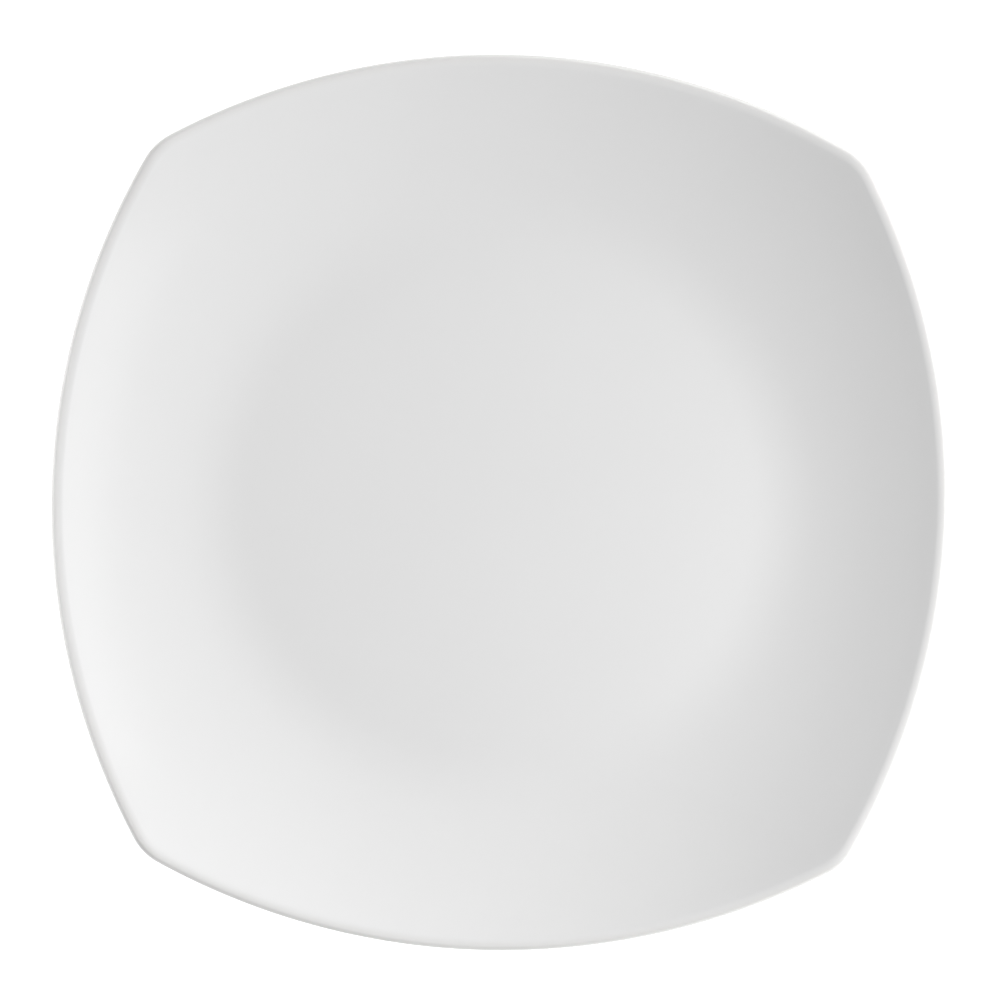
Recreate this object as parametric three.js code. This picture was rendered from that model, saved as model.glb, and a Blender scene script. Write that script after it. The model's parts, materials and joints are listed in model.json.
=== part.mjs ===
// Square coupe plate: a pressed clay dish with a foot ring, under a white glaze.
// Millimetres, +Z up. The origin is on the table, under the middle of the plate.
//
// The dish is a surface of revolution trimmed to a bowed square, so its corners stand higher than
// the middles of its sides. Two surfaces carry the glaze: the face, lip and back down to the foot
// ring, and the disc inside the foot ring. Between them the foot ring's rim is bare clay.

import * as THREE from "three";
import { mergeGeometries } from "three/addons/utils/BufferGeometryUtils.js";

// Driving dimensions of the outline, seen from above
const WIDTH = 254; // between the middles of opposite sides
const SIDE_RADIUS = 194; // bow of a side
const CORNER_RADIUS = 18;

// Driving dimensions of the dish, seen in section
const WALL = 4.2; // thickness, glaze included
const GLAZE = 0.3;
const WELL_RADIUS = 73; // flat floor
const KNEE_RADIUS = 85; // curve of the face as it leaves the floor
const KNEE_ANGLE = THREE.MathUtils.degToRad(12); // slope where the knee runs into the flare
const FLARE_RADIUS = 165; // curve of the face from the knee to the lip
const LIP_EDGE = 1.4; // round of the lip's outermost edge

// Driving dimensions of the foot ring, seen in section
const FOOT_RADIUS = 70; // middle of the bearing face
const FOOT_WIDTH = 4; // flat of the bearing face
const FOOT_HEIGHT = 3.2; // from the table to the glazed back
const FOOT_DRAFT = THREE.MathUtils.degToRad(18); // lean of both flanks
const FOOT_EDGE = 0.7; // round on both edges of the bearing face
const FOOT_FILLET = 1.6; // round where a flank meets the back
const BARE_RIM = 0.9; // height on a flank where the glaze stops

// Counts of flat steps along each curve
const SIDE_STEPS = 12;
const CORNER_STEPS = 4;
const KNEE_STEPS = 3;
const FLARE_STEPS = 4;
const LIP_STEPS = 3; // on each of the lip's three arcs
const FILLET_STEPS = 3;
const EDGE_STEPS = 2;

const QUARTER_TURN = Math.PI / 2;
const HALF_WALL = WALL / 2;
const FLOOR = FOOT_HEIGHT + WALL;
const LIP_TIP = { arc: 1, share: 1 }; // outermost point of the lip's section
const LIP_PASSES = 5; // of putting right where the lip's middle lies

const GLOSS = new THREE.MeshStandardMaterial({ color: 0xe9e9e9, roughness: 0.2, metalness: 0 });
const CLAY = new THREE.MeshStandardMaterial({ color: 0xddd6cb, roughness: 0.9, metalness: 0 });

const { lerp } = THREE.MathUtils;

// Numbers from just after 0 up to 1, in equal steps.
const shares = (steps) => Array.from({ length: steps }, (_, k) => (k + 1) / steps);

// Arcs of the dish's face in section: each turns about [centre radius, centre height].
const KNEE_CENTRE = [WELL_RADIUS, FLOOR + KNEE_RADIUS];
const FLARE_CENTRE = [
  KNEE_CENTRE[0] + (KNEE_RADIUS - FLARE_RADIUS) * Math.sin(KNEE_ANGLE),
  KNEE_CENTRE[1] - (KNEE_RADIUS - FLARE_RADIUS) * Math.cos(KNEE_ANGLE),
];

// Radius at which the knee runs into the flare, on the surface that lies `depth` below the face.
const kneeEnd = (depth) => WELL_RADIUS + (KNEE_RADIUS + depth) * Math.sin(KNEE_ANGLE);

// Height and slope of the dish at a radius, on the surface that lies `depth` below the face.
function dish(radius, depth) {
  if (radius <= WELL_RADIUS) return { height: FLOOR - depth, slope: 0 };
  const inKnee = radius <= kneeEnd(depth);
  const centre = inKnee ? KNEE_CENTRE : FLARE_CENTRE;
  const arc = depth + (inKnee ? KNEE_RADIUS : FLARE_RADIUS);
  const slope = Math.asin((radius - centre[0]) / arc);
  return { height: centre[1] - arc * Math.cos(slope), slope };
}

// Places round the lip, anticlockwise from above, one for each point of the outline.
function lipPlaces() {
  const sideBack = SIDE_RADIUS - WIDTH / 2; // from the axis back to a side's centre
  const reach = SIDE_RADIUS - CORNER_RADIUS;
  const corner = (Math.sqrt(2 * reach ** 2 - sideBack ** 2) - sideBack) / 2;
  const sweep = Math.atan2(corner, corner + sideBack);
  const sideArc = { x: -sideBack, y: 0, radius: SIDE_RADIUS, from: -sweep, to: sweep, steps: SIDE_STEPS };
  const cornerArc = {
    x: corner,
    y: corner,
    radius: CORNER_RADIUS,
    from: sweep,
    to: QUARTER_TURN - sweep,
    steps: CORNER_STEPS,
  };
  const places = [];
  for (let quarter = 0; quarter < 4; quarter++) {
    for (const { x, y, radius, from, to, steps } of [sideArc, cornerArc]) {
      for (const share of shares(steps)) {
        const angle = lerp(from, to, share);
        const outward = new THREE.Vector3(Math.cos(angle), Math.sin(angle), 0);
        const edge = new THREE.Vector3(x, y, 0).addScaledVector(outward, radius);
        const turn = new THREE.Matrix4().makeRotationZ(quarter * QUARTER_TURN);
        places.push(placeUnder(edge.applyMatrix4(turn), outward.applyMatrix4(turn)));
      }
    }
  }
  return places;
}

// The place whose lip reaches just out to a point of the outline. The lip's overhang depends on the
// slope under it, so a first guess is put right a few times.
function placeUnder(edge, outward) {
  let overhang = HALF_WALL;
  let place;
  for (let pass = 0; pass < LIP_PASSES; pass++) {
    place = lipPlace(edge.clone().addScaledVector(outward, -overhang), outward);
    overhang = lipPoint(place, LIP_TIP, 0).sub(place.middle).dot(outward);
  }
  return place;
}

// A place has its radius and direction from the plate's axis, the point halfway through the wall where
// the lip's section starts and ends, the section's two square directions, `up` off the face and `out`
// past the edge, and its arcs.
function lipPlace(flat, outward) {
  const radius = flat.length();
  const direction = flat.clone().normalize();
  const { height, slope } = dish(radius, HALF_WALL);
  const middle = flat.clone().setZ(height);
  const up = new THREE.Vector3(0, 0, Math.cos(slope)).addScaledVector(direction, -Math.sin(slope));
  const along = new THREE.Vector3(-outward.y, outward.x, 0);
  along.z = Math.tan(slope) * along.dot(direction);
  const out = along.cross(up).normalize();
  return { radius, direction, slope, middle, up, out, arcs: lipArcs(middle, up, out) };
}

// A direction in the lip's section, turned from `up` towards `out`.
function leaning(up, out, turn) {
  return up.clone().multiplyScalar(Math.cos(turn)).addScaledVector(out, Math.sin(turn));
}

// The lip's section is three arcs with shared tangents: a roll off the face until it is level, the
// tight edge through a quarter turn, and a roll that runs into the back. Both rolls follow from the
// edge, so that the section ends a wall below its start.
function lipArcs(middle, up, out) {
  const level = Math.atan2(out.z, up.z);
  const upright = level + QUARTER_TURN;
  const spare = (WALL - 2 * LIP_EDGE) / (1 - Math.cos(level) + Math.tan(level) * (1 - Math.sin(level)));
  const roll = LIP_EDGE + spare;
  const underRoll = LIP_EDGE + spare * Math.tan(level);
  const rollCentre = middle.clone().addScaledVector(up, HALF_WALL - roll);
  const edgeCentre = rollCentre.clone().addScaledVector(leaning(up, out, level), roll - LIP_EDGE);
  const underCentre = edgeCentre.clone().addScaledVector(leaning(up, out, upright), LIP_EDGE - underRoll);
  return [
    { centre: rollCentre, radius: roll, from: 0, to: level },
    { centre: edgeCentre, radius: LIP_EDGE, from: level, to: upright },
    { centre: underCentre, radius: underRoll, from: upright, to: Math.PI },
  ];
}

// A point of the lip's section, `inset` below its surface.
function lipPoint({ up, out, arcs }, { arc, share }, inset) {
  const { centre, radius, from, to } = arcs[arc];
  return centre.clone().addScaledVector(leaning(up, out, lerp(from, to, share)), radius - inset);
}

const LIP = lipPlaces();

// A ring holds one point for each place round the lip. A pole is a ring of one point.
const pole = (height) => [new THREE.Vector3(0, 0, height)];
const towards = (direction, radius, height) => direction.clone().multiplyScalar(radius).setZ(height);
const circle = (radius, height) => LIP.map(({ direction }) => towards(direction, radius, height));
const dishCircle = (radius, depth) => circle(radius, dish(radius, depth).height);

// Ring of the flare: share 0 is the circle where the knee ends, and share 1 meets the lip.
function flareRing(share, depth) {
  return LIP.map(({ radius, direction, slope }) => {
    const lipStart = radius - (HALF_WALL - depth) * Math.sin(slope);
    const reach = lerp(kneeEnd(depth), lipStart, share);
    return towards(direction, reach, dish(reach, depth).height);
  });
}

// Rings of the lip from the face to the back, `inset` below its surface.
function lipRings(inset) {
  const stops = [0, 1, 2].flatMap((arc) => shares(LIP_STEPS).map((share) => ({ arc, share })));
  return stops.map((stop) => LIP.map((place) => lipPoint(place, stop, inset)));
}

// Radius where the bearing face's flat ends: side +1 is the foot ring's outer flank and -1 the inner one.
const flatEdge = (side) => FOOT_RADIUS + (side * FOOT_WIDTH) / 2;

// Rings of one flank of the foot ring, from the back down to where the glaze stops. `proud` is how far
// the surface stands off the clay.
function flankRings(side, proud) {
  const flankRadius = (height, off) => {
    const lean = (height - FOOT_EDGE) * Math.tan(FOOT_DRAFT);
    return flatEdge(side) + side * ((FOOT_EDGE + off) / Math.cos(FOOT_DRAFT) + lean);
  };
  const clayBack = dish(flankRadius(FOOT_HEIGHT, FOOT_FILLET), WALL - GLAZE).height;
  const centreHeight = clayBack - FOOT_FILLET;
  const centreRadius = flankRadius(centreHeight, FOOT_FILLET);
  const fillet = [0, ...shares(FILLET_STEPS)].map((share) => {
    const angle = lerp(QUARTER_TURN, Math.PI - FOOT_DRAFT, share);
    const round = FOOT_FILLET - proud;
    return circle(centreRadius + side * round * Math.cos(angle), centreHeight + round * Math.sin(angle));
  });
  return [...fillet, circle(flankRadius(BARE_RIM, proud), BARE_RIM)];
}

// Rings from the middle of the face, over the lip and down the back to the foot ring's outer flank.
function outerRings(proud) {
  const faceDepth = GLAZE - proud;
  const backDepth = WALL - faceDepth;
  const knee = shares(KNEE_STEPS);
  const kneeCircle = (share, depth) => dishCircle(lerp(WELL_RADIUS, kneeEnd(depth), share), depth);
  const flank = flankRings(+1, proud);
  const flankTop = Math.hypot(flank[0][0].x, flank[0][0].y);
  const backKnee = knee
    .map((share) => lerp(kneeEnd(backDepth), flankTop, share))
    .slice(0, -1)
    .map((radius) => dishCircle(radius, backDepth));
  return [
    pole(FLOOR - faceDepth),
    dishCircle(WELL_RADIUS, faceDepth),
    ...knee.map((share) => kneeCircle(share, faceDepth)),
    ...shares(FLARE_STEPS).map((share) => flareRing(share, faceDepth)),
    ...lipRings(faceDepth),
    ...shares(FLARE_STEPS).map((share) => flareRing(1 - share, backDepth)),
    ...backKnee,
    ...flank,
  ];
}

// Rings of the disc inside the foot ring, from where its glaze stops on the inner flank to the middle.
const wellRings = (proud) => [...flankRings(-1, proud).reverse(), pole(FOOT_HEIGHT + GLAZE - proud)];

// Rings of the bare rim, between the places where the glaze stops on the two flanks.
function rimRings(outerStop, innerStop) {
  const edge = (side, share) => {
    const angle = lerp(-FOOT_DRAFT, -QUARTER_TURN, share);
    return circle(flatEdge(side) + side * FOOT_EDGE * Math.cos(angle), FOOT_EDGE * (1 + Math.sin(angle)));
  };
  const edgeShares = [0, ...shares(EDGE_STEPS)];
  return [
    outerStop,
    ...edgeShares.map((share) => edge(+1, share)),
    ...edgeShares.toReversed().map((share) => edge(-1, share)),
    innerStop,
  ];
}

// Triangles that join rings in order. They face up where the rings widen, and down where they close.
function skin(rings) {
  const corners = [];
  for (let k = 1; k < rings.length; k++) {
    const [near, far] = [rings[k - 1], rings[k]];
    for (let i = 0; i < LIP.length; i++) {
      const next = (i + 1) % LIP.length;
      if (far.length > 1) corners.push(near[i % near.length], far[i], far[next]);
      if (near.length > 1) corners.push(near[i], far[next % far.length], near[next]);
    }
  }
  return new THREE.BufferGeometry().setFromPoints(corners);
}

// The same skin seen from its other side, for the piece that lies under it.
function otherSide(geometry) {
  const turned = geometry.clone();
  const position = turned.getAttribute("position");
  for (let corner = 0; corner < position.count; corner += 3) {
    const second = new THREE.Vector3().fromBufferAttribute(position, corner + 1);
    const third = new THREE.Vector3().fromBufferAttribute(position, corner + 2);
    position.setXYZ(corner + 1, ...third);
    position.setXYZ(corner + 2, ...second);
  }
  return turned;
}

function piece(name, material, ...skins) {
  const geometry = mergeGeometries(skins);
  geometry.computeVertexNormals();
  const mesh = new THREE.Mesh(geometry, material);
  mesh.name = name;
  return mesh;
}

const outerClay = outerRings(0);
const outerGloss = outerRings(GLAZE);
const wellClay = wellRings(0);
const wellGloss = wellRings(GLAZE);

// Where glaze is fused to clay, both pieces share one skin.
const outerBond = skin(outerClay);
const wellBond = skin(wellClay);

// Narrow bands where the glaze stops, and the bare rim between them.
const outerStop = skin([outerGloss.at(-1), outerClay.at(-1)]);
const wellStop = skin([wellClay[0], wellGloss[0]]);
const bareRim = skin(rimRings(outerClay.at(-1), wellClay[0]));

const plate = new THREE.Group();
plate.add(
  piece("biscuit_body", CLAY, outerBond, bareRim, wellBond),
  piece("glaze_coat", GLOSS, skin(outerGloss), outerStop, otherSide(outerBond)),
  piece("foot_well_glaze", GLOSS, skin(wellGloss), wellStop, otherSide(wellBond)),
);

export default plate;
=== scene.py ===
"""Looks of a square coupe plate: white glaze over a fired clay body, on a pale studio floor.

Metres, +Z up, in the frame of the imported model. Every surface is a profile carried round the plate:
rings of points from one pole to the other, each ring one row of a grid.
"""

import json
import math
from typing import NamedTuple

import bpy
import numpy as np
from bpy.props import FloatProperty, FloatVectorProperty, PointerProperty
from mathutils import Euler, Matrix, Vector


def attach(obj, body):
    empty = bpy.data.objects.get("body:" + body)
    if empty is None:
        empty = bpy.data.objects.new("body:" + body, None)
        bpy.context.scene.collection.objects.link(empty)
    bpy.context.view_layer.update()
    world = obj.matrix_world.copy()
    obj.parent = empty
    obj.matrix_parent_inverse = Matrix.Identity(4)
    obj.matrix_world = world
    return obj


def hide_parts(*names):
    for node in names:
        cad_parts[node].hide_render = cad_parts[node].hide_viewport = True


bl_info = {
    "name": "Square coupe plate",
    "version": (1, 0, 0),
    "blender": (4, 5, 0),
    "location": "3D View > Sidebar > Plate",
    "description": "Makes a glazed square coupe plate and its studio stage",
    "category": "Add Mesh",
}

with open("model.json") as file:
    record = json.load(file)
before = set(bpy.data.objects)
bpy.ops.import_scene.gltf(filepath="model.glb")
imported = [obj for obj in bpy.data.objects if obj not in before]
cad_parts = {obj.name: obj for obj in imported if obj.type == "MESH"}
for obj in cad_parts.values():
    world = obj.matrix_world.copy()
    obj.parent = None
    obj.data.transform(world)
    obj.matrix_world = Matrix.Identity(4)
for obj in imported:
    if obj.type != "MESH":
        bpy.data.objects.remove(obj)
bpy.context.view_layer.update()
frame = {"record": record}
MOUNTS = {mount["name"]: Vector(mount["pos_m"]) for mount in frame["record"]["mounts"]}

MM = 0.001
QUARTER_TURN = math.pi / 2
QUARTERS = 4
TURN = QUARTERS * QUARTER_TURN

# Counts of mesh steps along each curve
SIDE_STEPS = 100
CORNER_STEPS = 24
FLOOR_STEPS = 10
KNEE_STEPS = 16
FLARE_STEPS = 24
LIP_STEPS = 30
BACK_STEPS = 20
FILLET_STEPS = 8
FLANK_STEPS = 14
EDGE_STEPS = 6
RIM_STEPS = 4
HIDDEN_STEPS = 9
HIDDEN_FLOOR_STEPS = 1

# The lip's section: how many arcs it has, where its roll and edge end, and how often its place is corrected
LIP_ARCS = 3
ROLL_END = 1
EDGE_END = 2
LIP_PASSES = 4

# Sides of the foot ring
OUTER = 1
INNER = -1

# The line where the glaze stops on the foot ring: waves round the ring, their lags in radians and shares
STOP_LOBES = (5, 11, 23)
STOP_LAGS = (0.7, 2.1, 4.0)
STOP_SHARES = (0.5, 0.3, 0.2)

# The swell of the glaze above that line: how much thicker it is, and how many beads up it lies
SWELL = 0.3
SWELL_PLACE = 1.5


class Grain(NamedTuple):
    """A noise: metres across its patches, and how many finer layers it has."""

    size: float
    detail: float


# Grain of the finishes, with heights in metres, and the ends between which most of a noise's values lie
NOISE_ENDS = (0.3, 0.7)
CLOUDS = Grain(size=45 * MM, detail=3)
CLOUD_TONE = 0.99
GLOSS = Grain(size=12 * MM, detail=4)
GLOSS_SPREAD = 0.15
WAVES = Grain(size=30 * MM, detail=1)
WAVE_HEIGHT = 0.04 * MM
PEEL = Grain(size=2.5 * MM, detail=2)
PEEL_HEIGHT = 0.006 * MM
SAND = Grain(size=0.6 * MM, detail=5)
SAND_ENDS = (0.4, 0.65)
MATT = Grain(size=3 * MM, detail=3)
MATT_ROUGHNESS = (0.8, 0.95)
PITS = Grain(size=0.4 * MM, detail=4)
PIT_DEPTH = 0.06 * MM

# How strongly the glaze bends light
GLAZE_IOR = 1.5

# The studio floor: radii of its rings, steps round it, and where its own glow comes up, counted out from
# the plate's edge: first out of a painted shadow under the plate, then towards the far floor
FLOOR_RINGS = (0.5, 2.0, 6.0)
FLOOR_TURNS = 96
PAINTED_SHADE_ENDS = (-28 * MM, -1 * MM)
FAR_ENDS = (0.15, 1.35)
FLOOR_ROUGHNESS = 0.9

# The studio sky: sines of the heights where the horizon's light fades and where the light overhead comes up
HORIZON_ENDS = (math.sin(math.radians(3)), math.sin(math.radians(18)))
OVERHEAD_ENDS = (math.sin(math.radians(25)), math.sin(math.radians(80)))

# Colour of the floor's own light and of the sky, and millimetres across the camera's sensor
WHITE = (1, 1, 1, 1)
SENSOR_WIDTH = 36


class Lamp(NamedTuple):
    """A soft lamp: metres across and up its panel and out from the plate, degrees round from +X and up.

    A lamp that isn't mirrored lights the plate, but its panel doesn't show in the glaze.
    """

    width: float
    height: float
    distance: float
    azimuth: float
    elevation: float
    mirrored: bool = True


LAMPS = {
    "key": Lamp(width=0.5, height=0.35, distance=0.8, azimuth=-18, elevation=30, mirrored=False),
    "side": Lamp(width=0.92, height=0.92, distance=1.15, azimuth=-5, elevation=37),
    "back": Lamp(width=2.0, height=1.0, distance=2.0, azimuth=60, elevation=24),
    "left": Lamp(width=0.6, height=0.6, distance=0.8, azimuth=180, elevation=45),
    "card": Lamp(width=0.26, height=0.05, distance=0.22, azimuth=180, elevation=12),
}


# Settings that a user would change


def length(name, description, default):
    """A property that holds a length in metres."""
    return FloatProperty(name=name, description=description, default=default, min=0.0, unit="LENGTH")


def angle(name, description, degrees):
    """A property that holds an angle."""
    return FloatProperty(name=name, description=description, default=math.radians(degrees), unit="ROTATION")


def colour(name, description, default):
    """A property that holds a linear colour."""
    return FloatVectorProperty(
        name=name, description=description, default=default, min=0.0, max=1.0, size=3, subtype="COLOR"
    )


def fraction(name, description, default):
    """A property that holds a share from 0 to 1."""
    return FloatProperty(
        name=name, description=description, default=default, min=0.0, max=1.0, subtype="FACTOR"
    )


def power(name, description, default):
    """A property that holds a lamp's power in watts."""
    return FloatProperty(name=name, description=description, default=default, min=0.0, unit="POWER")


class PlateSizes(bpy.types.PropertyGroup):
    """Sizes of the plate."""

    width: length("Width", "Between the middles of opposite sides", 254 * MM)
    side_radius: length("Side radius", "Bow of a side, seen from above", 194 * MM)
    corner_radius: length("Corner radius", "Round of a corner, seen from above", 18 * MM)
    wall: length("Wall", "Thickness of the dish, glaze included", 4.2 * MM)
    lip_edge: length("Lip edge", "Round of the lip's outermost edge", 1.4 * MM)
    glaze: length("Glaze", "Thickness of the glaze", 0.3 * MM)
    floor: length("Floor height", "Height of the well's floor", MOUNTS["well_floor"].z)
    well_radius: length("Well radius", "Radius of the flat floor", 73 * MM)
    knee_radius: length("Knee radius", "Curve of the face as it leaves the floor", 85 * MM)
    knee_angle: angle("Knee angle", "Slope where the knee runs into the flare", 12)
    flare_radius: length("Flare radius", "Curve of the face from the knee to the lip", 165 * MM)
    foot_radius: length("Foot radius", "Middle of the foot ring's bearing face", MOUNTS["foot_rest"].x)
    foot_width: length("Foot width", "Flat of the foot ring's bearing face", 4 * MM)
    foot_draft: angle("Foot draft", "Lean of the foot ring's flanks", 18)
    foot_edge: length("Foot edge", "Round on the edges of the bearing face", 0.7 * MM)
    foot_fillet: length("Foot fillet", "Round where a flank meets the back", 1.6 * MM)
    bare_rim: length("Bare rim", "Height on a flank where the glaze stops", 0.9 * MM)
    bare_wave: length("Bare rim wave", "How far the line where the glaze stops wanders", 0.18 * MM)
    bead: length("Bead", "Round of the glaze where it stops", 0.5 * MM)


class PlateColours(bpy.types.PropertyGroup):
    """Colours and finish of the plate."""

    glaze: colour("Glaze", "White of the glaze", (0.82, 0.82, 0.82))
    glaze_thin: colour("Thin glaze", "White of the glaze where it draws thin", (0.80, 0.795, 0.785))
    glaze_roughness: fraction("Glaze roughness", "Mean roughness of the glaze", 0.18)
    clay: colour("Clay", "Bare fired clay", (0.76, 0.715, 0.64))
    clay_dark: colour("Dark clay", "Darker grains of the bare clay", (0.58, 0.53, 0.46))


class StageSettings(bpy.types.PropertyGroup):
    """Camera, lights and floor."""

    camera_distance: length("Camera distance", "From the middle of the plate to the lens", 1.0)
    camera_lens: FloatProperty(
        name="Lens", description="Focal length in millimetres", default=126.69, subtype="DISTANCE_CAMERA"
    )
    camera_height: length("Look height", "Height of the point that the camera turns about", 15 * MM)
    camera_right: length("Right of the middle", "How far right of that point it looks", 0.435 * MM)
    camera_below: length("Below the middle", "How far below that point it looks", 1.409 * MM)
    tilt_side: angle("Sideways tilt", "Lean of the camera towards the left side", 2.49)
    tilt_back: angle("Backward tilt", "Lean of the camera towards the back side", 3.48)
    roll: angle("Roll", "Turn of the camera about its own line of sight", 1.29)
    floor_colour: colour("Floor", "Pale studio floor", (0.6, 0.6, 0.6))
    # The floor's own glow beside the plate; under the plate it fades out as a painted shadow
    floor_glow: fraction("Floor glow", "Light of the lit floor round the plate", 0.72)
    far_glow: fraction("Far glow", "Light that the floor gains further off", 0.4)
    horizon: fraction("Horizon", "Light of the sky along the horizon", 1.0)
    overhead: fraction("Overhead", "Light of the sky overhead", 0.54)
    key_power: power("Key power", "Soft lamp close to the right side", 3.98)
    side_power: power("Side power", "Larger soft lamp further off at the right", 3.16)
    back_power: power("Back power", "Wide soft lamp behind the plate", 18.4)
    left_power: power("Left power", "Faint soft lamp high at the left", 0.57)
    card_power: power("Card power", "Low narrow card close to the left side", 0.08)


# Shape of the plate


def dish(sizes, radius, depth):
    """Height and slope of the dish at a radius, on the surface that lies `depth` below its face.

    The face is flat as far as the well's radius. Past it the knee, then the flare, turn about a centre each.
    The sine of the slope is the way out from that centre over the arc's radius. The height is the centre's
    height less the arc's radius times the cosine of the slope. Parallel surfaces share these centres.
    """
    knee_sine = math.sin(sizes.knee_angle)
    knee_cosine = math.cos(sizes.knee_angle)
    change = sizes.knee_radius - sizes.flare_radius
    knee_centre = (sizes.well_radius, sizes.floor + sizes.knee_radius)
    flare_centre = (knee_centre[0] + change * knee_sine, knee_centre[1] - change * knee_cosine)
    in_knee = radius <= knee_end(sizes, depth)
    arc = depth + np.where(in_knee, sizes.knee_radius, sizes.flare_radius)
    out = radius - np.where(in_knee, knee_centre[0], flare_centre[0])
    slope = np.arcsin(np.clip(out / arc, 0, 1))
    return np.where(in_knee, knee_centre[1], flare_centre[1]) - arc * np.cos(slope), slope


def knee_end(sizes, depth):
    """Radius where the knee runs into the flare: the well's radius plus the reach of the knee's arc."""
    return sizes.well_radius + (sizes.knee_radius + depth) * math.sin(sizes.knee_angle)


class Lip:
    """Places round the middle of the lip, anticlockwise from above, as whole arrays.

    Seen from above the edge is a bowed square: each side an arc about a centre behind the plate's axis, each
    corner an arc about a centre on the diagonal, with one shared tangent where they meet. The middle of the
    lip runs inside that edge, halfway through the wall. There the lip's section is spanned by `up`, square
    to the face, and `out`, square to `up` and to the way along the edge. It is three arcs with shared
    tangents: a roll off the face until it is level, the tight edge through a quarter turn, and a roll into
    the back.
    """

    def __init__(self, sizes):
        self.half_wall = sizes.wall / 2
        self.edge = sizes.lip_edge
        side_back = sizes.side_radius - sizes.width / 2
        reach = sizes.side_radius - sizes.corner_radius
        corner = (math.sqrt(2 * reach**2 - side_back**2) - side_back) / 2
        sweep = math.atan2(corner, corner + side_back)
        side_turn = np.linspace(-sweep, sweep, SIDE_STEPS, endpoint=False)
        corner_turn = np.linspace(sweep, QUARTER_TURN - sweep, CORNER_STEPS, endpoint=False)
        turn = np.concatenate([side_turn, corner_turn])
        in_corner = turn >= sweep
        arc = np.where(in_corner, sizes.corner_radius, sizes.side_radius)
        outward = np.stack([np.cos(turn), np.sin(turn)], axis=-1)
        centre_x = np.where(in_corner, corner, -side_back)
        centre_y = np.where(in_corner, corner, 0.0)
        centre = np.stack([centre_x, centre_y], axis=-1)
        inside = np.full(len(turn), self.half_wall)
        for _ in range(LIP_PASSES):
            self.settle(sizes, centre + (arc - inside)[:, None] * outward, outward)
            inside = self.overhang(outward)
        self.repeat_quarters()

    def settle(self, sizes, flat, outward):
        """Sets the lip's section over the given flat points.

        With s the lean of the section's level, the roll's radius R and the under roll's radius U follow from
        the edge's radius E, so that both ends of the section lie opposite each other, a wall apart:
        R = E + d and U = E + d tan(s), with d = (wall - 2 E) / (1 - cos(s) + tan(s) (1 - sin(s))).
        """
        self.radius = np.hypot(*flat.T)
        self.direction = flat / self.radius[:, None]
        height, self.slope = dish(sizes, self.radius, self.half_wall)
        self.middle = np.column_stack([flat, height])
        self.up = np.column_stack([-self.direction * np.sin(self.slope)[:, None], np.cos(self.slope)])
        along = np.column_stack([-outward[:, 1], outward[:, 0]])
        climb = np.tan(self.slope) * (along * self.direction).sum(axis=-1)
        out = np.cross(np.column_stack([along, climb]), self.up)
        self.out = out / np.linalg.norm(out, axis=-1, keepdims=True)
        self.lean = np.arctan2(self.out[:, 2], self.up[:, 2])
        sine, cosine, tangent = np.sin(self.lean), np.cos(self.lean), np.tan(self.lean)
        spare = (sizes.wall - 2 * self.edge) / (1 - cosine + tangent * (1 - sine))
        self.roll = self.edge + spare
        self.under = self.edge + spare * tangent

    def overhang(self, outward):
        """How far the edge stands out past the middle of the lip, seen from above."""
        tip = self.section(np.array([[EDGE_END]]), 0.0)[0] - self.middle
        return (tip[:, :2] * outward).sum(axis=-1)

    def repeat_quarters(self):
        """Turns the quarter that was worked out into the whole way round."""
        turn = QUARTER_TURN * np.arange(QUARTERS)
        cosine, sine = np.cos(turn), np.sin(turn)
        spin = np.stack([np.stack([cosine, -sine], axis=-1), np.stack([sine, cosine], axis=-1)], axis=1)
        for key in ("radius", "slope", "lean", "roll", "under"):
            setattr(self, key, np.tile(getattr(self, key), QUARTERS))
        for key in ("direction", "middle", "up", "out"):
            quarter = getattr(self, key)
            flat = np.einsum("qij,pj->qpi", spin, quarter[:, :2]).reshape(-1, 2)
            setattr(self, key, np.column_stack([flat, np.tile(quarter[:, 2:], (QUARTERS, 1))]))
        self.azimuth = np.arctan2(self.direction[:, 1], self.direction[:, 0])

    def rings(self, radius, height):
        """Rings at the given radii and heights, which are grids of rows by places round the plate."""
        radius, height = np.broadcast_arrays(radius, height)
        flat = radius[..., None] * self.direction
        return np.concatenate([flat, np.broadcast_to(height, flat.shape[:-1])[..., None]], axis=-1)

    def section(self, share, inset):
        """Points of the lip's section, `inset` below its surface.

        Shares from 0 to 1 lie on the roll, from 1 to 2 on the edge and from 2 to 3 on the under roll. The
        turn from `up` towards `out` runs evenly along each arc. A point is the arc's centre plus (its radius
        less inset) times (cosine of the turn times up plus sine of the turn times out).
        """
        lean = self.lean
        on_roll, on_edge, on_under = (np.clip(share - first, 0, 1) for first in range(LIP_ARCS))
        turn = lean * on_roll + QUARTER_TURN * on_edge + (QUARTER_TURN - lean) * on_under
        past_roll, past_edge = share > ROLL_END, share > EDGE_END
        to_edge = np.where(past_roll, self.roll - self.edge, 0)
        to_under = np.where(past_edge, self.edge - self.under, 0)
        out = to_edge * np.sin(lean) + to_under * np.cos(lean)
        up = to_edge * np.cos(lean) - to_under * np.sin(lean)
        arc = np.where(past_edge, self.under, np.where(past_roll, self.edge, self.roll)) - inset
        up = up + self.half_wall - self.roll + arc * np.cos(turn)
        out = out + arc * np.sin(turn)
        return self.middle + up[..., None] * self.up + out[..., None] * self.out

    def lip_rings(self, count, inset):
        """Rings of the lip from the face to the back, `inset` below its surface."""
        return self.section(LIP_ARCS * steps(count), inset)


def steps(count):
    """Shares from just after 0 up to 1, as a column."""
    return (np.arange(count) + 1.0)[:, None] / count


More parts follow.
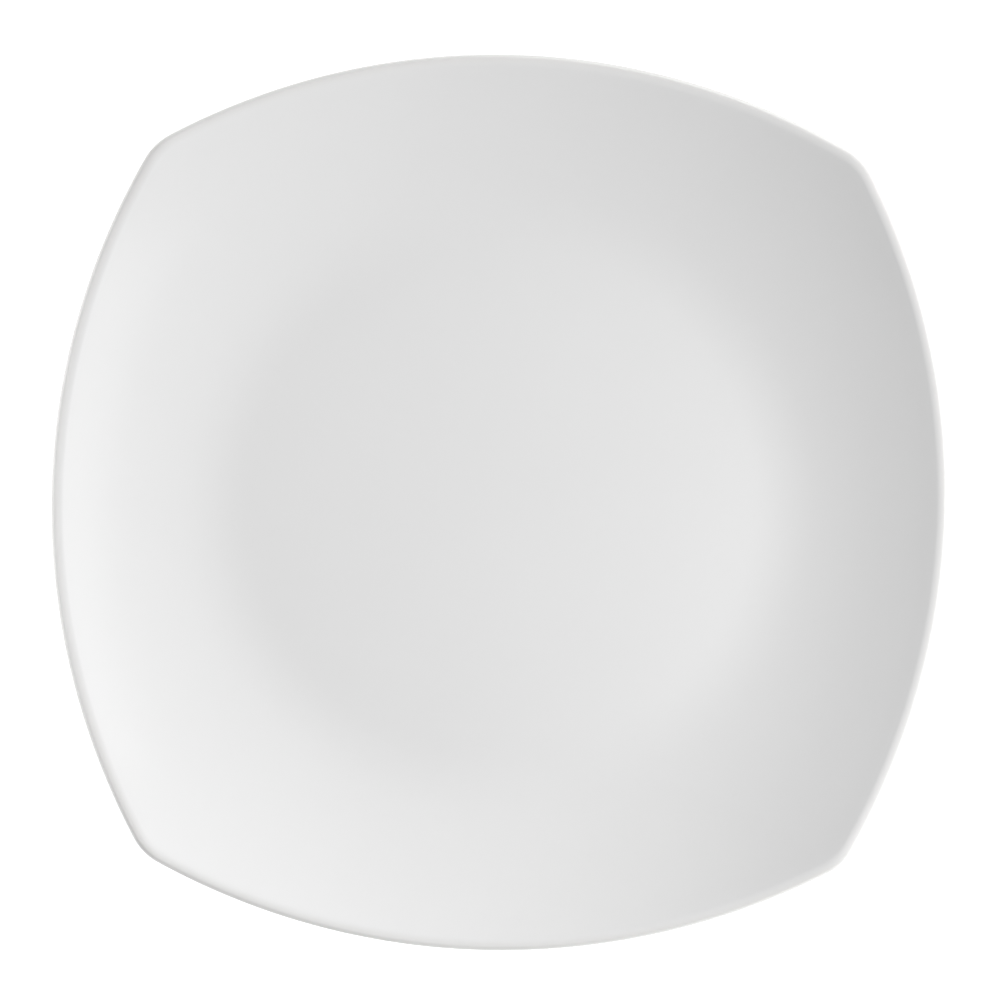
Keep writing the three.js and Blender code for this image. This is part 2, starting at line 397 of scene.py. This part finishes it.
def dish_rings(sizes, lip, depth, floor_steps, knee_steps, flare_steps):
    """Rings of the dish `depth` below its face, from the middle out to the lip's round.

    Radii run evenly over the floor and over the knee, and then from the knee's end to where the lip's round
    starts, which lies (half a wall less the depth) times the sine of the slope inside the middle of the lip.
    """
    knee = knee_end(sizes, depth)
    lip_start = lip.radius - (lip.half_wall - depth) * np.sin(lip.slope)
    places = np.ones_like(lip.radius)
    radius = np.concatenate(
        [
            sizes.well_radius * steps(floor_steps) * places,
            (sizes.well_radius + (knee - sizes.well_radius) * steps(knee_steps)) * places,
            knee + (lip_start - knee) * steps(flare_steps),
        ]
    )
    return lip.rings(radius, dish(sizes, radius, depth)[0])


class Flank:
    """One flank of the foot ring, on its outer or its inner side.

    In section it leans by the draft, from the round on the bearing face's edge to a fillet under the dish.
    """

    def __init__(self, sizes, side):
        self.sizes = sizes
        self.side = side
        self.flat_edge = sizes.foot_radius + side * sizes.foot_width / 2
        clay_back = sizes.floor - sizes.wall + sizes.glaze
        top_radius = self.radius(clay_back, sizes.foot_fillet)
        self.fillet_height = dish(sizes, top_radius, sizes.wall - sizes.glaze)[0] - sizes.foot_fillet
        self.fillet_radius = self.radius(self.fillet_height, sizes.foot_fillet)

    def radius(self, height, proud):
        """Radius at a height on the surface that stands `proud` off the clay: a straight line that leans."""
        draft = self.sizes.foot_draft
        lean = (height - self.sizes.foot_edge) * math.tan(draft)
        return self.flat_edge + self.side * ((self.sizes.foot_edge + proud) / math.cos(draft) + lean)

    def fillet(self, lip, proud, count):
        """Rings of the fillet from the back down to the flank: an arc about the fillet's centre."""
        way = np.concatenate([[[0.0]], steps(count)])
        turn = QUARTER_TURN + (QUARTER_TURN - self.sizes.foot_draft) * way
        rounding = self.sizes.foot_fillet - proud
        places = np.ones_like(lip.radius)
        radius = self.fillet_radius + self.side * rounding * np.cos(turn) * places
        return lip.rings(radius, self.fillet_height + rounding * np.sin(turn))

    def stop(self, lip):
        """Height where the glaze stops: the bare rim's height plus three slow sine waves round the ring."""
        lobes, lags, shares = np.array([STOP_LOBES, STOP_LAGS, STOP_SHARES])[:, :, None]
        wave = (shares * np.sin(lobes * lip.azimuth + lags + self.side)).sum(axis=0)
        return self.sizes.bare_rim + self.sizes.bare_wave * wave

    def foot_of_fillet(self, proud):
        """Height where the fillet runs into the straight flank."""
        rounding = self.sizes.foot_fillet - proud
        return self.fillet_height + rounding * math.sin(self.sizes.foot_draft)

    def straight(self, lip, count):
        """Clay rings from the fillet down to the edge round, on the leaning line."""
        top = self.foot_of_fillet(0.0)
        bottom = self.sizes.foot_edge * (1 - math.sin(self.sizes.foot_draft))
        height = top + (bottom - top) * steps(count)
        return lip.rings(self.radius(height, 0.0) * np.ones_like(lip.radius), height)

    def glazed(self, lip, count):
        """Glaze rings from the fillet down to where the glaze stops.

        The glaze swells a little above the stop, and closes on the clay in a round. It stands proud by its
        thickness times (1 + swell) times the square root of 1 - (1 - way)^2, where the way from the stop is
        counted in beads. The swell is a bell curve of that way.
        """
        sizes = self.sizes
        top = self.foot_of_fillet(sizes.glaze)
        stop = self.stop(lip)
        height = stop + (top - stop) * (1 - steps(count)) ** 2
        away = (height - stop) / (sizes.bead * math.cos(sizes.foot_draft))
        swell = SWELL * np.exp(-((away - SWELL_PLACE) ** 2))
        closing = np.sqrt(1 - (1 - np.clip(away, 0, 1)) ** 2)
        return lip.rings(self.radius(height, sizes.glaze * (1 + swell) * closing), height)

    def bonded(self, lip, count):
        """Rings on the clay under the glaze, from where the glaze stops up to the fillet."""
        stop = self.stop(lip)
        top = self.foot_of_fillet(0.0)
        height = stop + (top - stop) * steps(count)
        return lip.rings(self.radius(height, 0.0), height)

    def edge(self, lip, count):
        """Rings of the round from the flank to the bearing face: an arc of the foot edge's radius."""
        draft = self.sizes.foot_draft
        turn = -draft - (QUARTER_TURN - draft) * steps(count)
        places = np.ones_like(lip.radius)
        radius = self.flat_edge + self.side * self.sizes.foot_edge * np.cos(turn) * places
        return lip.rings(radius, self.sizes.foot_edge * (1 + np.sin(turn)))


def back_rings(sizes, lip, depth, outer_radius, count):
    """Rings of the back from the lip's round in to the outer fillet, `depth` below the face."""
    lip_start = lip.radius - (lip.half_wall - depth) * np.sin(lip.slope)
    radius = lip_start + (outer_radius - lip_start) * steps(count)
    return lip.rings(radius, dish(sizes, radius, depth)[0])[:-1]


# Meshes and materials


def ring_mesh(name, rows, first_pole, last_pole=None):
    """A smooth mesh whose rings run from one pole to the other, or to an open edge, and face outwards.

    The first pole is point 0, and ring points are numbered after it row by row. So a quad joins a point, the
    next ring's point and their neighbours round the ring, and triangles close each pole.
    """
    ring_count, place_count, _ = rows.shape
    points = np.concatenate([[[0, 0, first_pole]], rows.reshape(-1, 3)])
    index = 1 + np.arange(ring_count * place_count).reshape(ring_count, place_count)
    after = np.roll(index, -1, axis=1)
    first = np.stack([np.zeros_like(index[0]), index[0], after[0]], axis=-1)
    quads = np.stack([index[:-1], index[1:], after[1:], after[:-1]], axis=-1).reshape(-1, 4)
    faces = [*first.tolist(), *quads.tolist()]
    if last_pole is not None:
        last = np.stack([index[-1], np.full_like(index[-1], len(points)), after[-1]], axis=-1)
        points = np.concatenate([points, [[0, 0, last_pole]]])
        faces += last.tolist()
    mesh = bpy.data.meshes.new(name)
    mesh.from_pydata(points.tolist(), [], faces)
    mesh.shade_smooth()
    return mesh


def shell(name, rows, first_pole, last_pole, attributes=None):
    """A closed object made of rings, with named values for its points, ring by ring."""
    mesh = ring_mesh(name, rows, first_pole, last_pole)
    for key, values in (attributes or {}).items():
        layer = mesh.attributes.new(key, "FLOAT", "POINT")
        layer.data.foreach_set("value", np.concatenate([values.flat[:1], values.flat, values.flat[-1:]]))
    piece = bpy.data.objects.new(name, mesh)
    bpy.context.scene.collection.objects.link(piece)
    return piece


class Nodes:
    """The node tree of a material or a world, with short ways to add and join nodes."""

    def __init__(self, owner, shader="Principled BSDF"):
        owner.use_nodes = True
        self.owner = owner
        self.tree = owner.node_tree
        self.shader = self.tree.nodes[shader]

    def add(self, kind, **settings):
        """A new node with the given settings."""
        node = self.tree.nodes.new(kind)
        for key, value in settings.items():
            setattr(node, key, value)
        return node

    def join(self, source, target):
        """A link from an output socket to an input socket."""
        self.tree.links.new(source, target)

    def place(self):
        """The piece's own coordinates in metres."""
        return self.add("ShaderNodeTexCoord").outputs["Object"]

    def noise(self, grain):
        """Cloudy noise of the given grain, fixed to the piece."""
        node = self.add("ShaderNodeTexNoise")
        node.inputs["Scale"].default_value = 1 / grain.size
        node.inputs["Detail"].default_value = grain.detail
        self.join(self.place(), node.inputs["Vector"])
        return node.outputs["Fac"]

    def spread(self, source, low, high, ends=NOISE_ENDS, easing="LINEAR"):
        """A value that goes from `low` to `high` as the source goes from one end to the other."""
        node = self.add("ShaderNodeMapRange", interpolation_type=easing)
        node.inputs["From Min"].default_value, node.inputs["From Max"].default_value = ends
        node.inputs["To Min"].default_value = low
        node.inputs["To Max"].default_value = high
        self.join(source, node.inputs["Value"])
        return node.outputs["Result"]

    def reckon(self, operation, first, second):
        """The sum, the larger or the like of two values."""
        node = self.add("ShaderNodeMath", operation=operation)
        self.join(first, node.inputs[0])
        self.join(second, node.inputs[1])
        return node.outputs["Value"]

    def mix(self, amount, first, second):
        """A colour between two others: each is a colour or a socket."""
        node = self.add("ShaderNodeMix", data_type="RGBA")
        self.join(amount, node.inputs["Factor"])
        for value, socket in ((first, node.inputs["A"]), (second, node.inputs["B"])):
            if isinstance(value, bpy.types.NodeSocket):
                self.join(value, socket)
            else:
                socket.default_value = (*value, 1)
        return node.outputs["Result"]

    def bump(self, height, distance, under=None):
        """Normals of a surface that `height` raises by up to `distance` metres."""
        node = self.add("ShaderNodeBump")
        node.inputs["Distance"].default_value = distance
        self.join(height, node.inputs["Height"])
        if under:
            self.join(under, node.inputs["Normal"])
        return node.outputs["Normal"]


def glaze_material(name, colours):
    """Opaque white glaze: faint clouds of tone, a thin drawn edge, soft waves and a little orange peel."""
    nodes = Nodes(bpy.data.materials.new(name))
    white = np.array(colours.glaze)
    clouds = nodes.spread(nodes.noise(CLOUDS), 0, 1)
    tone = nodes.mix(clouds, white * CLOUD_TONE, white)
    thin = nodes.add("ShaderNodeAttribute", attribute_name="thin_glaze").outputs["Fac"]
    nodes.join(nodes.mix(thin, tone, tuple(colours.glaze_thin)), nodes.shader.inputs["Base Color"])
    smooth, dull = colours.glaze_roughness * np.array([1 - GLOSS_SPREAD, 1 + GLOSS_SPREAD])
    roughness = nodes.spread(nodes.noise(GLOSS), smooth, dull)
    nodes.join(roughness, nodes.shader.inputs["Roughness"])
    waves = nodes.bump(nodes.noise(WAVES), WAVE_HEIGHT)
    peel = nodes.bump(nodes.noise(PEEL), PEEL_HEIGHT, waves)
    nodes.join(peel, nodes.shader.inputs["Normal"])
    nodes.shader.inputs["IOR"].default_value = GLAZE_IOR
    return nodes.owner


def clay_material(colours):
    """Bare fired clay: sandy grain in two tones, matt, with fine pits."""
    nodes = Nodes(bpy.data.materials.new("bare_clay"))
    grain = nodes.spread(nodes.noise(SAND), 0, 1, ends=SAND_ENDS)
    nodes.join(nodes.mix(grain, colours.clay, colours.clay_dark), nodes.shader.inputs["Base Color"])
    roughness = nodes.spread(nodes.noise(MATT), *MATT_ROUGHNESS)
    nodes.join(roughness, nodes.shader.inputs["Roughness"])
    nodes.join(nodes.bump(nodes.noise(PITS), PIT_DEPTH), nodes.shader.inputs["Normal"])
    return nodes.owner


def dress(piece, material, node):
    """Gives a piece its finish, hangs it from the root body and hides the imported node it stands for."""
    piece.data.materials.append(material)
    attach(piece, "root")
    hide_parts(node)


# Stage


def side_distance(nodes, sizes):
    """How far a point lies from the centre of the nearest side's arc, seen from above.

    The plate is the same on all four sides. So the larger of the point's two coordinates, without their
    signs, is the way ahead to that side, and the smaller is the way along it.
    """
    mirrored = nodes.add("ShaderNodeVectorMath", operation="ABSOLUTE")
    nodes.join(nodes.place(), mirrored.inputs["Vector"])
    split = nodes.add("ShaderNodeSeparateXYZ")
    nodes.join(mirrored.outputs["Vector"], split.inputs["Vector"])
    flat = nodes.add("ShaderNodeCombineXYZ")
    for axis, operation in (("X", "MAXIMUM"), ("Y", "MINIMUM")):
        nodes.join(nodes.reckon(operation, split.outputs["X"], split.outputs["Y"]), flat.inputs[axis])
    way = nodes.add("ShaderNodeVectorMath", operation="DISTANCE")
    nodes.join(flat.outputs["Vector"], way.inputs[0])
    way.inputs[1].default_value = (sizes.width / 2 - sizes.side_radius, 0, 0)
    return way.outputs["Value"]


def floor_material(sizes, settings):
    """Matt pale floor with its own glow, faded out under the plate as painted shadow and stronger far off.
    """
    nodes = Nodes(bpy.data.materials.new("studio_floor"))
    nodes.shader.inputs["Base Color"].default_value = (*settings.floor_colour, 1)
    nodes.shader.inputs["Roughness"].default_value = FLOOR_ROUGHNESS
    nodes.shader.inputs["Specular IOR Level"].default_value = 0.0
    nodes.shader.inputs["Emission Color"].default_value = WHITE
    away = side_distance(nodes, sizes)
    painted_shade_ends, far_ends = sizes.side_radius + np.array([PAINTED_SHADE_ENDS, FAR_ENDS])
    # Painted shadow under the plate: the glow is nothing 28 mm inside the plate's edge and full 1 mm inside
    # it
    glow_past_painted_shade = nodes.spread(away, 0, settings.floor_glow, painted_shade_ends, "SMOOTHSTEP")
    far = nodes.spread(away, 0, settings.far_glow, far_ends, "SMOOTHSTEP")
    nodes.join(nodes.reckon("ADD", glow_past_painted_shade, far), nodes.shader.inputs["Emission Strength"])
    return nodes.owner


def make_floor(sizes, settings):
    """A round floor: rings of points about the middle, out to its edge."""
    turn = np.linspace(0, TURN, FLOOR_TURNS, endpoint=False)
    radius = np.array(FLOOR_RINGS)[:, None]
    rows = np.stack(np.broadcast_arrays(radius * np.cos(turn), radius * np.sin(turn), 0.0), axis=-1)
    mesh = ring_mesh("studio_floor", rows, 0.0)
    mesh.materials.append(floor_material(sizes, settings))
    floor = bpy.data.objects.new("studio_floor", mesh)
    bpy.context.scene.collection.objects.link(floor)


def make_sky(scene, settings):
    """Neutral light from all round, brightest along the horizon, that eases with the sine of the height."""
    nodes = Nodes(bpy.data.worlds.new("studio_sky"), "Background")
    split = nodes.add("ShaderNodeSeparateXYZ")
    nodes.join(nodes.add("ShaderNodeTexCoord").outputs["Generated"], split.inputs["Vector"])
    low = nodes.spread(split.outputs["Z"], settings.horizon, 0, HORIZON_ENDS, "SMOOTHSTEP")
    high = nodes.spread(split.outputs["Z"], 0, settings.overhead, OVERHEAD_ENDS, "SMOOTHSTEP")
    nodes.shader.inputs["Color"].default_value = WHITE
    nodes.join(nodes.reckon("ADD", low, high), nodes.shader.inputs["Strength"])
    scene.world = nodes.owner


def make_lamp(name, lamp, watts):
    """Places a lamp on a sphere round the middle of the plate, looking at it."""
    light = bpy.data.lights.new(f"{name}_lamp", "AREA")
    light.shape = "RECTANGLE"
    light.size = lamp.width
    light.size_y = lamp.height
    light.energy = watts
    turn, rise = math.radians(lamp.azimuth), math.radians(lamp.elevation)
    aim = Vector((math.cos(rise) * math.cos(turn), math.cos(rise) * math.sin(turn), math.sin(rise)))
    stand = bpy.data.objects.new(f"{name}_lamp", light)
    stand.visible_glossy = lamp.mirrored
    stand.location = aim * lamp.distance
    stand.rotation_euler = aim.to_track_quat("Z", "Y").to_euler()
    bpy.context.scene.collection.objects.link(stand)


def make_camera(scene, settings):
    """A camera almost straight above the plate, turned and leaned as the photographed view is."""
    camera = bpy.data.cameras.new("camera")
    camera.lens = settings.camera_lens
    camera.sensor_width = SENSOR_WIDTH
    eye = bpy.data.objects.new("camera", camera)
    eye.rotation_euler = Euler((-settings.tilt_back, -settings.tilt_side, settings.roll))
    middle = Vector((0, 0, settings.camera_height))
    off_axis = Vector((settings.camera_right, -settings.camera_below, -settings.camera_distance))
    eye.location = middle - eye.rotation_euler.to_matrix() @ off_axis
    scene.collection.objects.link(eye)
    scene.camera = eye
    scene.view_settings.view_transform = "Standard"


# Operators and panel


class PLATE_OT_biscuit(bpy.types.Operator):
    """Make the fired clay body with its foot ring"""

    bl_idname = "plate.biscuit"
    bl_label = "Biscuit body"

    def execute(self, context):
        sizes = context.scene.plate_sizes
        lip = Lip(sizes)
        outer, inner = Flank(sizes, OUTER), Flank(sizes, INNER)
        fillet = outer.fillet(lip, 0.0, FILLET_STEPS)
        back = back_rings(sizes, lip, sizes.wall - sizes.glaze, np.hypot(*fillet[0, 0, :2]), BACK_STEPS)
        bearing_radius = outer.flat_edge + (inner.flat_edge - outer.flat_edge) * steps(RIM_STEPS)
        rows = [
            dish_rings(sizes, lip, sizes.glaze, HIDDEN_FLOOR_STEPS, HIDDEN_STEPS, HIDDEN_STEPS),
            lip.lip_rings(HIDDEN_STEPS, sizes.glaze),
            back,
            fillet,
            outer.straight(lip, FLANK_STEPS),
            outer.edge(lip, EDGE_STEPS),
            lip.rings(bearing_radius * np.ones_like(lip.radius), 0.0),
            inner.edge(lip, EDGE_STEPS)[-2::-1],
            inner.straight(lip, FLANK_STEPS)[::-1],
            inner.fillet(lip, 0.0, FILLET_STEPS)[::-1],
        ]
        bottom = sizes.floor - sizes.wall + sizes.glaze
        body = shell("fired_biscuit", np.concatenate(rows), sizes.floor - sizes.glaze, bottom)
        dress(body, clay_material(context.scene.plate_colours), "biscuit_body")
        return {"FINISHED"}


class PLATE_OT_glaze(bpy.types.Operator):
    """Make the glaze on the face, the lip and the back"""

    bl_idname = "plate.glaze"
    bl_label = "Glaze coat"

    def execute(self, context):
        sizes = context.scene.plate_sizes
        lip = Lip(sizes)
        flank = Flank(sizes, OUTER)
        fillet = flank.fillet(lip, sizes.glaze, FILLET_STEPS)
        bond_fillet = flank.fillet(lip, 0.0, FILLET_STEPS)
        bond_depth = sizes.wall - sizes.glaze
        face = dish_rings(sizes, lip, 0.0, FLOOR_STEPS, KNEE_STEPS, FLARE_STEPS)
        rows = [
            face,
            lip.lip_rings(LIP_STEPS, 0.0),
            back_rings(sizes, lip, sizes.wall, np.hypot(*fillet[0, 0, :2]), BACK_STEPS),
            fillet,
            flank.glazed(lip, FLANK_STEPS),
            flank.bonded(lip, HIDDEN_STEPS),
            bond_fillet[::-1],
            back_rings(sizes, lip, bond_depth, np.hypot(*bond_fillet[0, 0, :2]), HIDDEN_STEPS)[::-1],
            lip.lip_rings(HIDDEN_STEPS, sizes.glaze)[::-1],
            dish_rings(sizes, lip, sizes.glaze, HIDDEN_FLOOR_STEPS, HIDDEN_STEPS, HIDDEN_STEPS)[::-1],
        ]
        rings = np.concatenate(rows)
        thin = np.zeros(rings.shape[:2])
        thin[len(face) : len(face) + LIP_STEPS] = np.sin(math.pi * steps(LIP_STEPS)) ** 2
        coat = shell("white_glaze", rings, sizes.floor, sizes.floor - sizes.glaze, {"thin_glaze": thin})
        material = glaze_material("white_glaze", context.scene.plate_colours)
        dress(coat, material, "glaze_coat")
        return {"FINISHED"}


class PLATE_OT_foot_well(bpy.types.Operator):
    """Make the glaze on the disc inside the foot ring"""

    bl_idname = "plate.foot_well"
    bl_label = "Foot well glaze"

    def execute(self, context):
        sizes = context.scene.plate_sizes
        lip = Lip(sizes)
        flank = Flank(sizes, INNER)
        rows = [
            flank.fillet(lip, 0.0, FILLET_STEPS),
            flank.bonded(lip, HIDDEN_STEPS)[::-1],
            flank.glazed(lip, FLANK_STEPS)[::-1],
            flank.fillet(lip, sizes.glaze, FILLET_STEPS)[::-1],
        ]
        back = sizes.floor - sizes.wall
        rings = np.concatenate(rows)
        thin = np.zeros(rings.shape[:2])
        disc = shell("foot_well_gloss", rings, back + sizes.glaze, back, {"thin_glaze": thin})
        material = glaze_material("foot_well_gloss", context.scene.plate_colours)
        dress(disc, material, "foot_well_glaze")
        return {"FINISHED"}


class PLATE_OT_stage(bpy.types.Operator):
    """Make the floor, the lights and the camera"""

    bl_idname = "plate.stage"
    bl_label = "Stage"

    def execute(self, context):
        settings = context.scene.plate_stage
        make_floor(context.scene.plate_sizes, settings)
        make_sky(context.scene, settings)
        for name, lamp in LAMPS.items():
            make_lamp(name, lamp, getattr(settings, f"{name}_power"))
        make_camera(context.scene, settings)
        return {"FINISHED"}


class PLATE_PT_panel(bpy.types.Panel):
    """Sidebar panel with the plate's settings and operators"""

    bl_label = "Square coupe plate"
    bl_idname = "PLATE_PT_panel"
    bl_space_type = "VIEW_3D"
    bl_region_type = "UI"
    bl_category = "Plate"

    def draw(self, context):
        for group in (context.scene.plate_sizes, context.scene.plate_colours, context.scene.plate_stage):
            box = self.layout.box()
            for key in group.__annotations__:
                box.prop(group, key)
        for operator in OPERATORS:
            self.layout.operator(operator.bl_idname)


GROUPS = {"plate_sizes": PlateSizes, "plate_colours": PlateColours, "plate_stage": StageSettings}
OPERATORS = (PLATE_OT_biscuit, PLATE_OT_glaze, PLATE_OT_foot_well, PLATE_OT_stage)
CLASSES = (*GROUPS.values(), *OPERATORS, PLATE_PT_panel)


def register():
    """Adds the classes and the scene's settings."""
    for cls in CLASSES:
        bpy.utils.register_class(cls)
    for key, group in GROUPS.items():
        setattr(bpy.types.Scene, key, PointerProperty(type=group))


def unregister():
    """Takes the settings and the classes away again."""
    for key in GROUPS:
        delattr(bpy.types.Scene, key)
    for cls in reversed(CLASSES):
        bpy.utils.unregister_class(cls)


def main():
    """Makes the plate and its stage."""
    register()
    bpy.ops.plate.biscuit()
    bpy.ops.plate.glaze()
    bpy.ops.plate.foot_well()
    bpy.ops.plate.stage()


if __name__ == "__main__":
    main()
